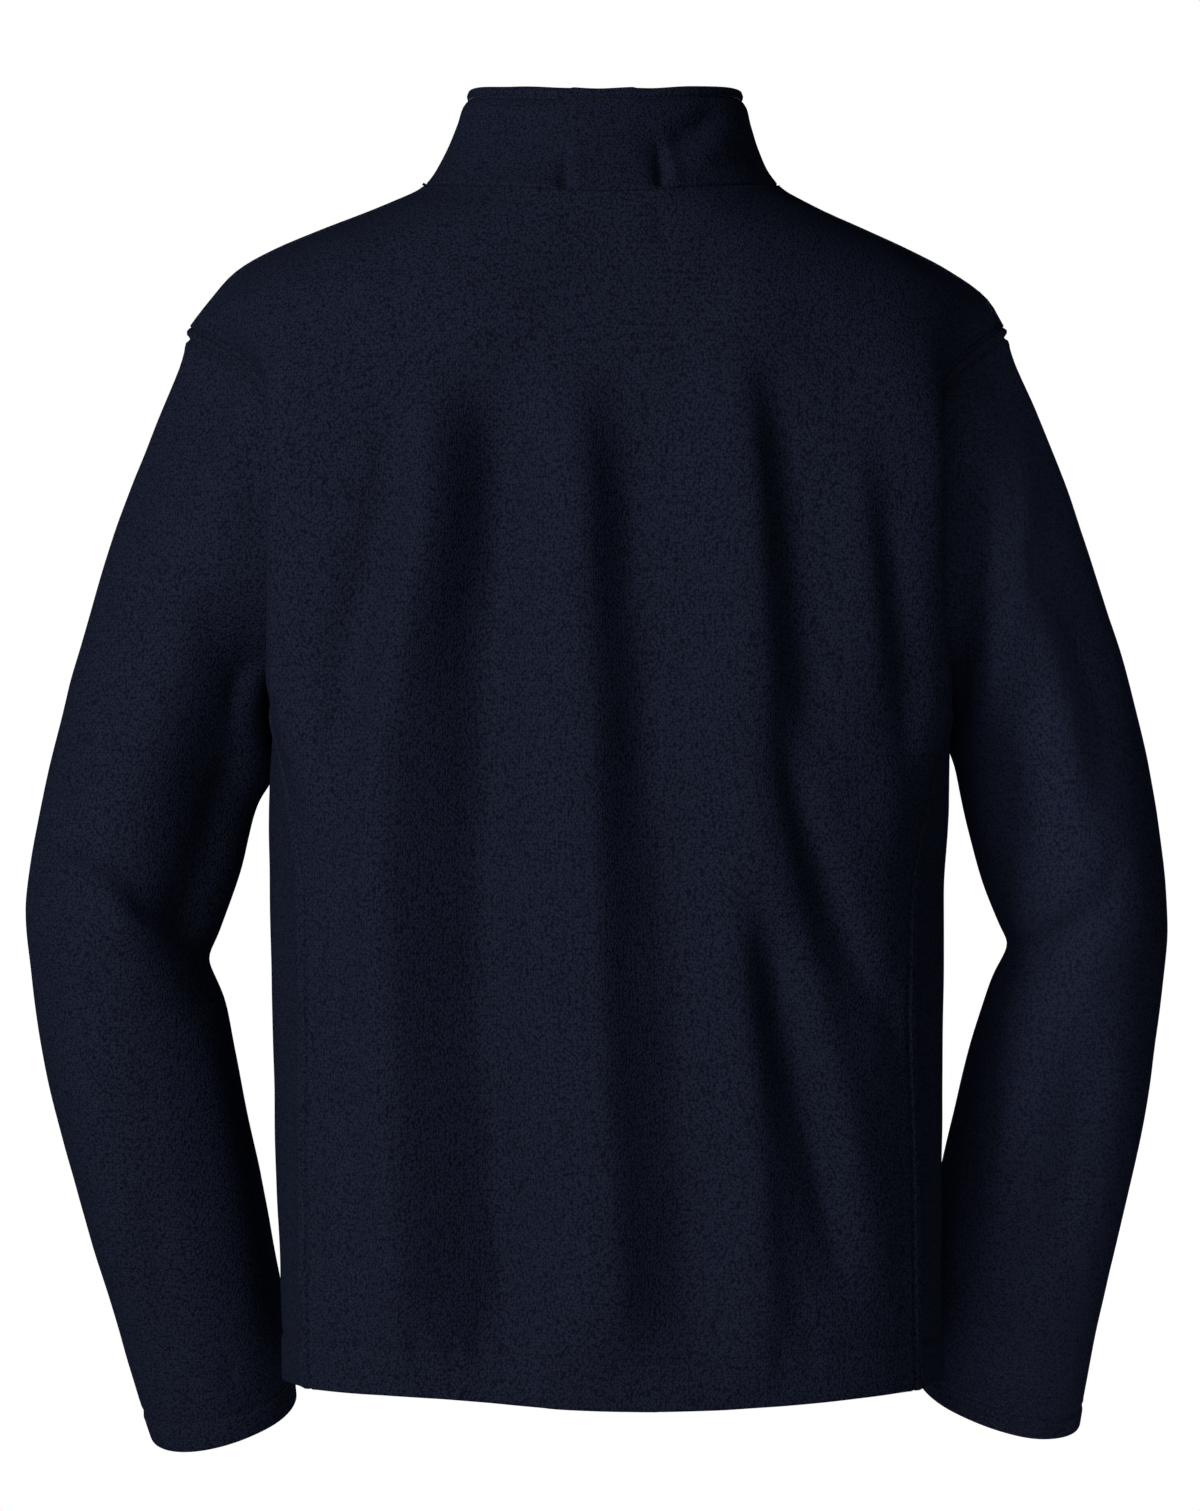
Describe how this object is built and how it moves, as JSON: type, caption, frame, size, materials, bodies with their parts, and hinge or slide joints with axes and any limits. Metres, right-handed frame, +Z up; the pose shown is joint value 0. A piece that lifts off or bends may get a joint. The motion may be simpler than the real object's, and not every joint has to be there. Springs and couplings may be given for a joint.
{
  "type": "fleece zip jacket",
  "caption": "Fleece jacket with a stand collar, set-in sleeves and a front zip closed to the top, filled out as worn with no wearer inside.",
  "frame": {"origin": "middle of the neck, at the height of the neck ends of the shoulder seams", "axes": "+Z up, -Y out of the jacket's front, +X towards the wearer's left"},
  "size_m": [0.6549, 0.2799, 0.7845],
  "materials": {
    "fleece": "matte",
    "zip_tape": "matte",
    "zip_metal": "satin"
  },
  "bodies": {
    "jacket": {"back_panel": "fleece", "front_left": "fleece", "front_right": "fleece", "sleeve_left": "fleece", "sleeve_right": "fleece", "collar": "fleece", "zip_tape_left": "zip_tape", "zip_tape_right": "zip_tape", "zip_box": "zip_metal", "zip_slider": "zip_metal"},
    "pull": {"zip_pull": "zip_metal"}
  },
  "joints": [
    {"name": "pull_hinge", "type": "hinge", "parent": "jacket", "child": "pull", "pos_m": [0, -0.07758, -0.00876], "axis": [-1, 0, 0], "range_deg": [0, 160]}
  ]
}
